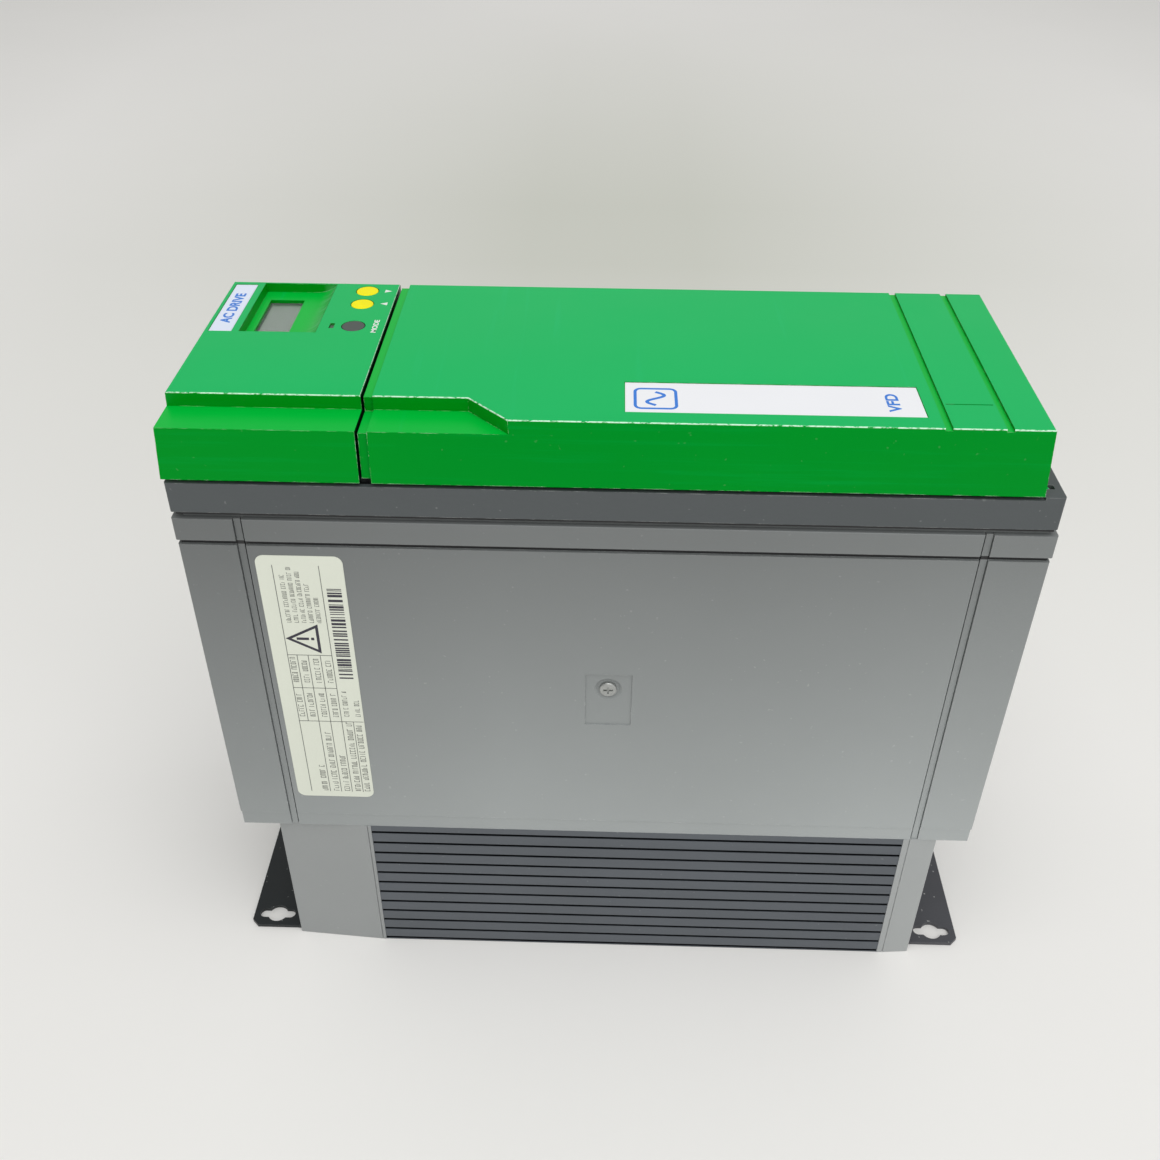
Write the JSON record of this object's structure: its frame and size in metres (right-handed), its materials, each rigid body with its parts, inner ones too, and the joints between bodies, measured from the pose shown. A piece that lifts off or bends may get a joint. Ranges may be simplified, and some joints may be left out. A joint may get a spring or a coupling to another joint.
{
  "type": "variable frequency drive",
  "caption": "Wall-mounted motor drive: grey case on a finned heatsink, green keypad front and hinged terminal cover, fan duct and keyhole lugs.",
  "frame": {"origin": "on the wall plane at the centre of the mounting holes", "axes": "+Z out of the wall, X along the installed height with -X the installed top (keypad end), Y across the width"},
  "size_m": [0.396, 0.1349, 0.3311],
  "materials": {
    "grey_plastic": "fine textured",
    "green_plastic": "satin",
    "anodised_aluminium": "dark anodised",
    "black_steel": "powder coated",
    "zinc_steel": "zinc plated",
    "copper": "tinned copper",
    "dark_plastic": "matt",
    "yellow_plastic": "matt",
    "mode_plastic": "matt",
    "label": "printed film",
    "clear_window": "clear",
    "lcd": "display glass",
    "board": "solder mask",
    "terminal_plastic": "matt",
    "core_steel": "laminated",
    "winding": "enamelled",
    "led": "diffused"
  },
  "bodies": {
    "drive": {"heatsink": "anodised_aluminium", "top_mounting_bracket": "black_steel", "bottom_mounting_bracket": "black_steel", "bracket_screws": "zinc_steel", "fan_housing": "grey_plastic", "air_inlet_cap": "grey_plastic", "fan_frame": "dark_plastic", "fan_guard": "zinc_steel", "fan_screws": "zinc_steel", "chassis": "dark_plastic", "rear_side_panel": "grey_plastic", "front_side_panel": "grey_plastic", "side_panel_screws": "zinc_steel", "rating_plate": "label", "top_end_cover": "grey_plastic", "bottom_end_cover": "grey_plastic", "gland_plate": "zinc_steel", "gland_plate_screws": "zinc_steel", "front_frame": "grey_plastic", "terminal_tray": "dark_plastic", "frame_screws": "zinc_steel", "keypad_housing": "green_plastic", "keypad_label": "label", "display_window": "clear_window", "lcd_panel": "lcd", "status_led": "led", "keypad_pcb": "board", "tactile_switches": "dark_plastic", "keypad_screws": "zinc_steel", "control_terminals": "terminal_plastic", "control_terminal_screws": "zinc_steel", "power_terminal_block": "dark_plastic", "power_terminal_screws": "zinc_steel", "terminal_busbars": "copper", "earth_bar": "copper", "earth_screws": "zinc_steel", "serial_connector": "dark_plastic", "control_pcb": "board", "control_chips": "dark_plastic", "pcb_spacers": "dark_plastic", "power_pcb": "board", "igbt_module": "dark_plastic", "rectifier_module": "dark_plastic", "bus_capacitors": "dark_plastic", "choke_core": "core_steel", "choke_winding": "winding", "choke_feet": "black_steel", "current_sensors": "dark_plastic", "supply_transformer": "dark_plastic", "precharge_relays": "dark_plastic", "ribbon_cable": "label"},
    "cover": {"terminal_cover": "green_plastic", "cover_label": "label"},
    "up_key": {"up_button": "yellow_plastic"},
    "down_key": {"down_button": "yellow_plastic"},
    "mode_key": {"mode_button": "mode_plastic"},
    "impeller": {"fan_impeller": "dark_plastic"}
  },
  "joints": [
    {"name": "cover_hinge", "type": "hinge", "parent": "drive", "child": "cover", "pos_m": [0.179, 0, 0.298], "axis": [0, 1, 0], "range_deg": [0, 95]},
    {"name": "up_press", "type": "slide", "parent": "drive", "child": "up_key", "axis": [0, 0, -1], "range_m": [0, 0.0008], "stiffness_N_per_m": 1500},
    {"name": "down_press", "type": "slide", "parent": "drive", "child": "down_key", "axis": [0, 0, -1], "range_m": [0, 0.0008], "stiffness_N_per_m": 1500},
    {"name": "mode_press", "type": "slide", "parent": "drive", "child": "mode_key", "axis": [0, 0, -1], "range_m": [0, 0.0008], "stiffness_N_per_m": 1500},
    {"name": "fan_spin", "type": "hinge", "parent": "drive", "child": "impeller", "pos_m": [-0.155, 0, 0.0465], "axis": [1, 0, 0], "continuous": true}
  ]
}
